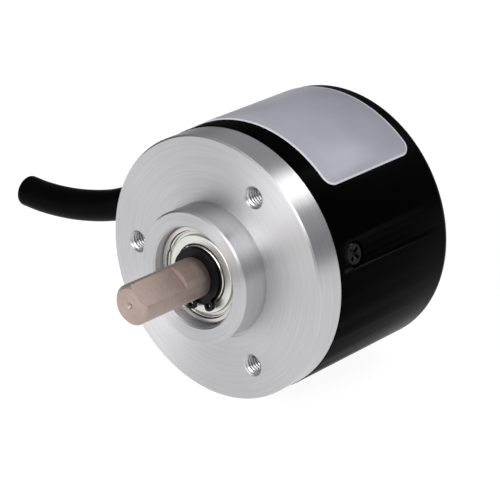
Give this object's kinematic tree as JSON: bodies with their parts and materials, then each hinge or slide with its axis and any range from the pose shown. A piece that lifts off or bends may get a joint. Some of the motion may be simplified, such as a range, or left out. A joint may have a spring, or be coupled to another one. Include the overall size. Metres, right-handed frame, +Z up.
{
  "type": "rotary encoder",
  "caption": "Round flange-mounted incremental rotary encoder with a pilot boss, a solid shaft with a flat, and a cable from the side of its cover.",
  "frame": {"origin": "centre of the mounting face on the shaft's axis", "axes": "+Y along the axis towards the cover, so the shaft points to -Y; +Z up through the middle of the label; +X to the right as seen from the shaft end"},
  "size_m": [0.0721, 0.0474, 0.0402],
  "materials": {
    "machined_aluminium": "turned and bead-smooth bare aluminium",
    "black_cover": "satin black painted aluminium",
    "label_film": "blank grey polyester film",
    "black_screw": "black oxide steel",
    "black_rubber": "nitrile rubber",
    "bearing_steel": "ground bearing steel",
    "polished_balls": "polished bearing steel",
    "cage_resin": "moulded nylon, natural amber",
    "shield_steel": "pressed steel sheet",
    "spring_wire": "spring wire",
    "shaft_steel": "ground stainless steel",
    "black_spring_steel": "phosphated spring steel",
    "hub_aluminium": "turned aluminium",
    "disc_steel": "etched stainless steel foil",
    "bright_screw": "zinc plated steel",
    "black_resin": "moulded black resin",
    "clear_resin": "clear epoxy",
    "tinned_lead": "tinned wire",
    "optical_glass": "polished glass",
    "reticle_film": "photo-etched film on glass",
    "chip_resin": "moulded epoxy",
    "board_laminate": "solder-masked glass epoxy",
    "brass": "turned brass",
    "can_aluminium": "drawn aluminium can",
    "header_nylon": "natural nylon",
    "wire_black": "PVC insulation",
    "wire_white": "PVC insulation",
    "wire_orange": "PVC insulation",
    "wire_brown": "PVC insulation",
    "wire_blue": "PVC insulation",
    "cable_pvc": "matt black PVC jacket"
  },
  "bodies": {
    "housing": {"flange": "machined_aluminium", "cover": "black_cover", "label": "label_film", "cover_screws": "black_screw", "cover_o_ring": "black_rubber", "front_bearing_outer_ring": "bearing_steel", "front_bearing_shields": "shield_steel", "front_bearing_snap_wires": "spring_wire", "rear_bearing_outer_ring": "bearing_steel", "rear_bearing_shields": "shield_steel", "rear_bearing_snap_wires": "spring_wire", "preload_spring": "spring_wire", "led_holder": "black_resin", "led_holder_screws": "bright_screw", "led_emitter": "clear_resin", "led_leads": "tinned_lead", "collimating_lens": "optical_glass", "reticle": "reticle_film", "photodetector": "chip_resin", "circuit_board": "board_laminate", "board_posts": "brass", "board_screws": "bright_screw", "driver_chip": "chip_resin", "regulator": "chip_resin", "board_capacitors": "can_aluminium", "board_resistors": "chip_resin", "wire_header": "header_nylon", "lead_wire_black": "wire_black", "lead_wire_white": "wire_white", "lead_wire_orange": "wire_orange", "lead_wire_brown": "wire_brown", "lead_wire_blue": "wire_blue", "cable_grommet": "black_rubber", "cable_crimp": "bright_screw", "cable_jacket": "cable_pvc"},
    "rotor": {"front_bearing_inner_ring": "bearing_steel", "rear_bearing_inner_ring": "bearing_steel", "shaft": "shaft_steel", "shaft_circlip": "black_spring_steel", "shim_washer": "black_spring_steel", "disc_hub": "hub_aluminium", "hub_set_screws": "black_screw", "code_disc": "disc_steel", "disc_clamp_ring": "hub_aluminium", "clamp_ring_screws": "bright_screw"},
    "front_ball_set": {"front_bearing_balls": "polished_balls", "front_bearing_cage": "cage_resin"},
    "rear_ball_set": {"rear_bearing_balls": "polished_balls", "rear_bearing_cage": "cage_resin"}
  },
  "joints": [
    {"name": "shaft_spin", "type": "hinge", "parent": "housing", "child": "rotor", "pos_m": [0, 0, 0], "axis": [0, -1, 0], "continuous": true},
    {"name": "front_cage_spin", "type": "hinge", "parent": "housing", "child": "front_ball_set", "pos_m": [0, 0, 0], "axis": [0, -1, 0], "continuous": true},
    {"name": "rear_cage_spin", "type": "hinge", "parent": "housing", "child": "rear_ball_set", "pos_m": [0, 0, 0], "axis": [0, -1, 0], "continuous": true}
  ],
  "couplings": [
    {"joint": "front_cage_spin", "follows": "shaft_spin", "ratio": 0.39048},
    {"joint": "rear_cage_spin", "follows": "shaft_spin", "ratio": 0.39048}
  ]
}
